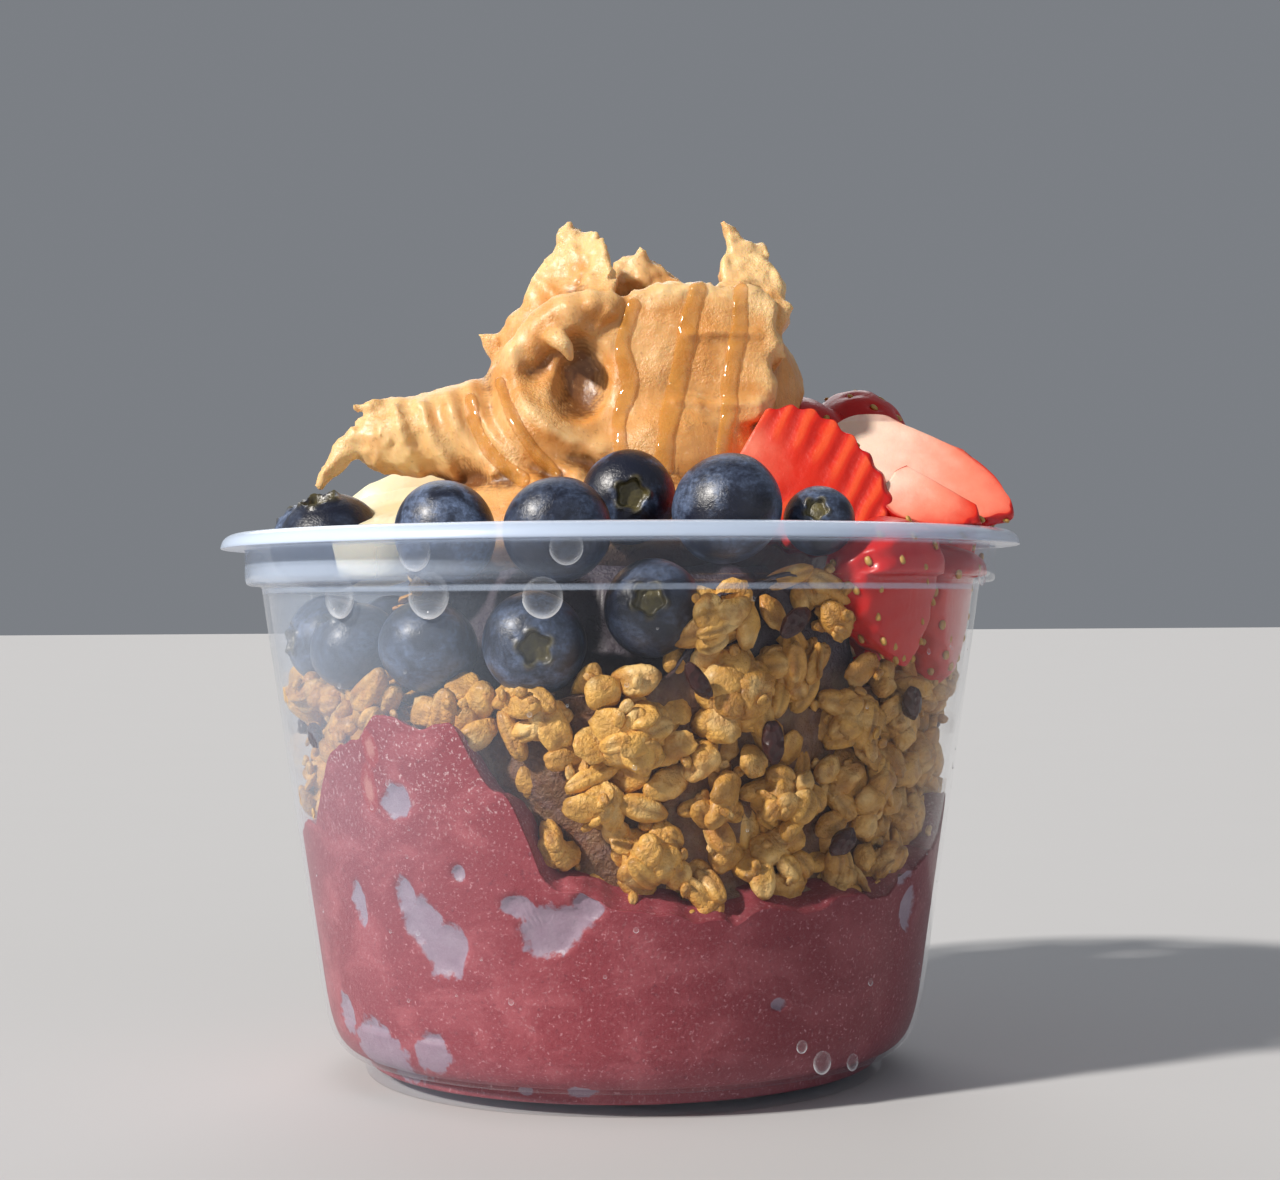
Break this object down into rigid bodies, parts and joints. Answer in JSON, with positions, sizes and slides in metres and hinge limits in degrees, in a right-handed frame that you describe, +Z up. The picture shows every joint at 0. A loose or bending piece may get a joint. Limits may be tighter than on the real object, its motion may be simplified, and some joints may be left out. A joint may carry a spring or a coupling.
{
  "type": "acai bowl",
  "caption": "Acai bowl in a clear round tub: rose acai puree, granola, blueberries, strawberries, banana, and a mound of peanut butter with trickled honey.",
  "frame": {"origin": "middle of the tub's foot ring, on the surface it stands on", "axes": "+Z up, -Y is the front where the toppings are highest to the left and the strawberries lie to the right (+X)"},
  "size_m": [0.1174, 0.1174, 0.1244],
  "materials": {
    "tub": "translucent, satin, slightly milky",
    "puree": "thick frozen puree, fine icy grain",
    "granola": "toasted puffs and flakes, dry",
    "blueberry": "dark skin under a pale waxy bloom",
    "strawberry": "wet cut fruit, pale at the heart",
    "banana": "moist, pale, faint seed ring",
    "peanut_butter": "oily smooth spread with clear amber honey"
  },
  "bodies": {
    "root": {"tub": "tub", "puree": "puree", "granola": "granola", "blueberry_01": "blueberry", "blueberry_02": "blueberry", "blueberry_03": "blueberry", "blueberry_04": "blueberry", "blueberry_05": "blueberry", "blueberry_06": "blueberry", "blueberry_07": "blueberry", "blueberry_08": "blueberry", "blueberry_09": "blueberry", "blueberry_10": "blueberry", "blueberry_11": "blueberry", "blueberry_12": "blueberry", "blueberry_13": "blueberry", "blueberry_14": "blueberry", "blueberry_15": "blueberry", "blueberry_16": "blueberry", "blueberry_17": "blueberry", "blueberry_18": "blueberry", "blueberry_19": "blueberry", "blueberry_20": "blueberry", "blueberry_21": "blueberry", "blueberry_22": "blueberry", "blueberry_23": "blueberry", "strawberry_01": "strawberry", "strawberry_02": "strawberry", "strawberry_03": "strawberry", "strawberry_04": "strawberry", "strawberry_05": "strawberry", "strawberry_06": "strawberry", "strawberry_07": "strawberry", "strawberry_08": "strawberry", "strawberry_09": "strawberry", "strawberry_10": "strawberry", "strawberry_11": "strawberry", "banana_01": "banana", "banana_02": "banana", "banana_03": "banana", "peanut_butter": "peanut_butter"}
  },
  "joints": []
}
